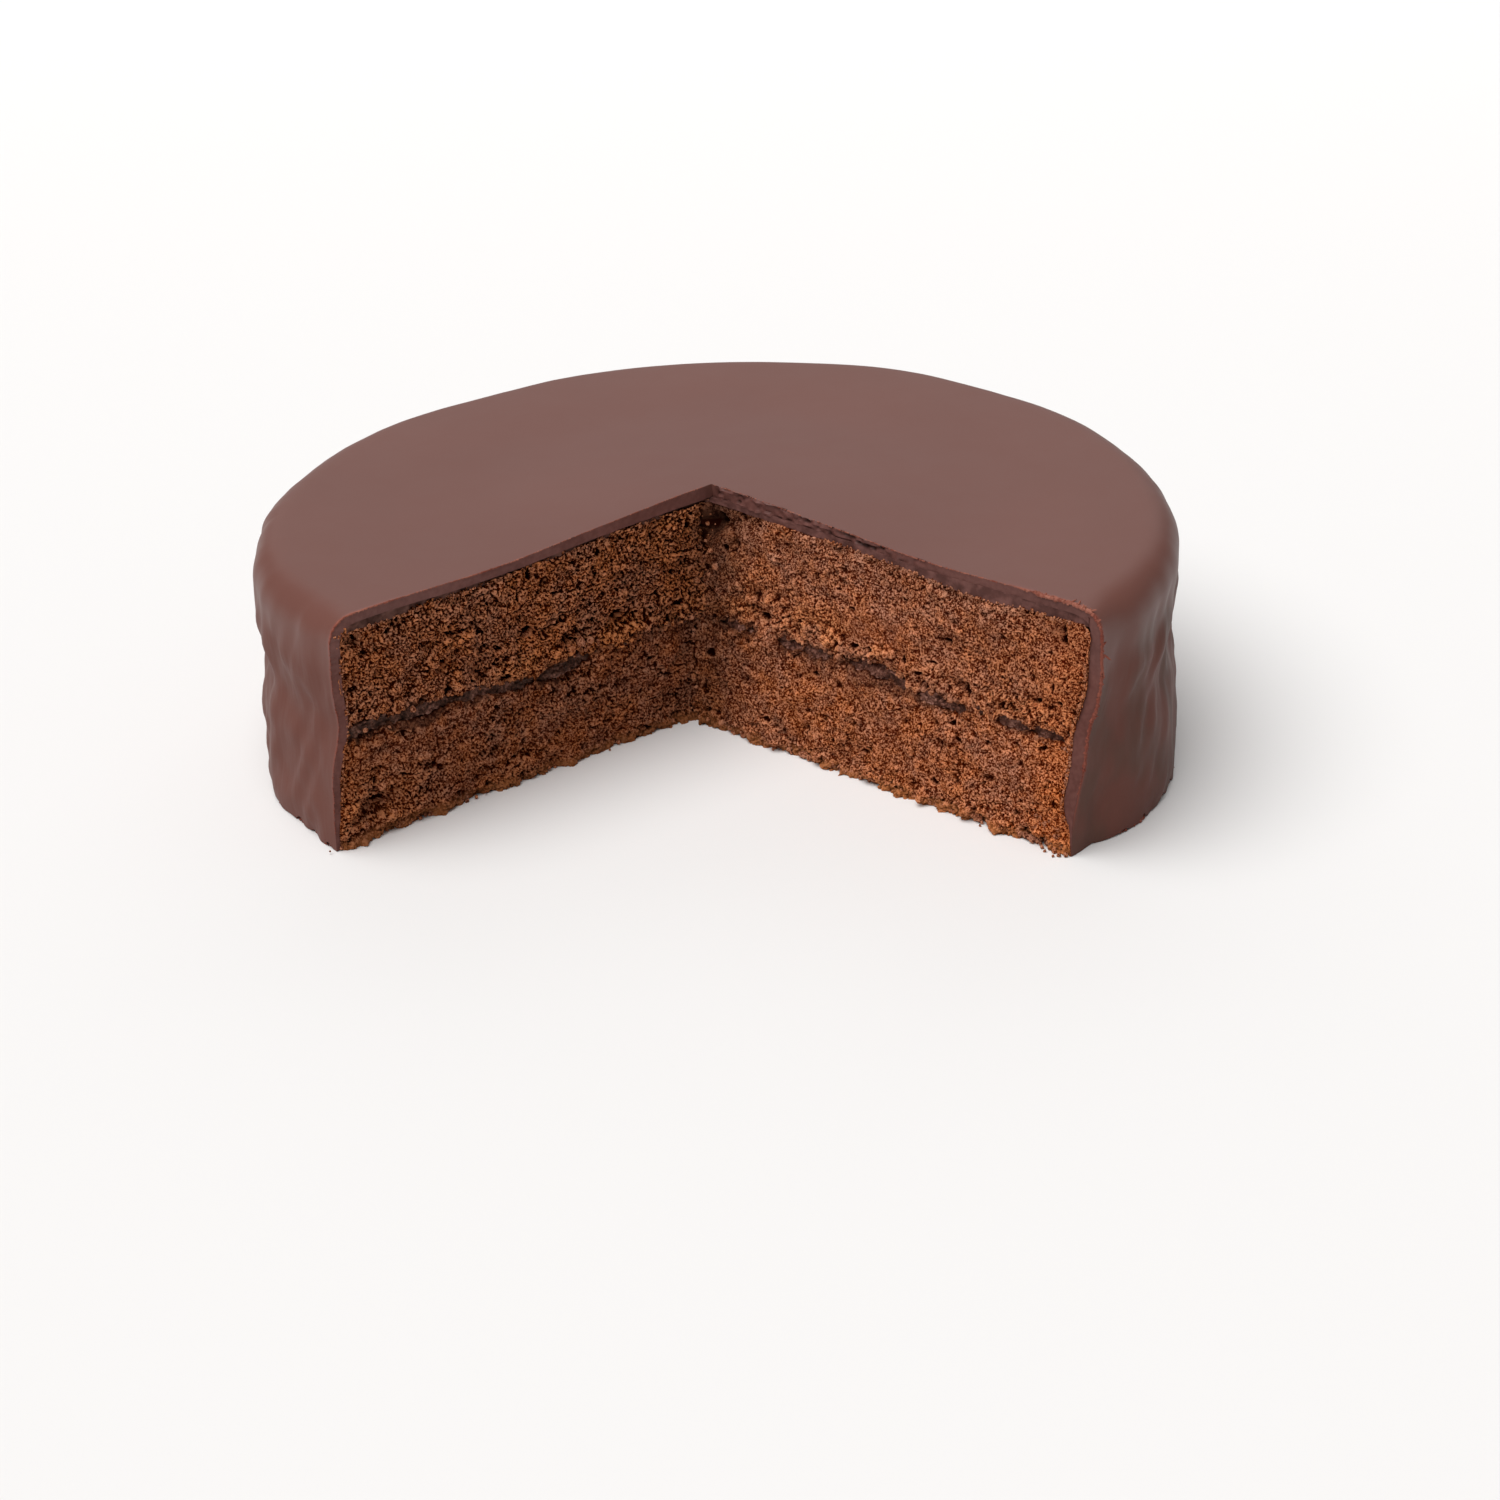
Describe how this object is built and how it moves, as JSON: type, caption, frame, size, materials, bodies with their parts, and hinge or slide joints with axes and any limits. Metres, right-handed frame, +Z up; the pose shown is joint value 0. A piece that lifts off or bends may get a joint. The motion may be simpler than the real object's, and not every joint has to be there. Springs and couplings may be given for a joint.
{
  "type": "sachertorte cake",
  "caption": "Round chocolate sponge cake with a jam layer and a smooth chocolate glaze, with one wide slice cut out so that its layers show.",
  "frame": {"origin": "middle of the footprint's box, on the table", "axes": "+Z up, the cut opens towards -Y, +X to the right as seen from the cut"},
  "size_m": [0.2398, 0.1934, 0.0667],
  "materials": {
    "sponge": "open, torn crumb, matte",
    "jam": "moist, dull gloss",
    "glaze": "even satin"
  },
  "bodies": {
    "root": {"sponge_lower": "sponge", "jam_filling": "jam", "sponge_upper": "sponge", "jam_coat": "jam", "glaze": "glaze"}
  },
  "joints": []
}
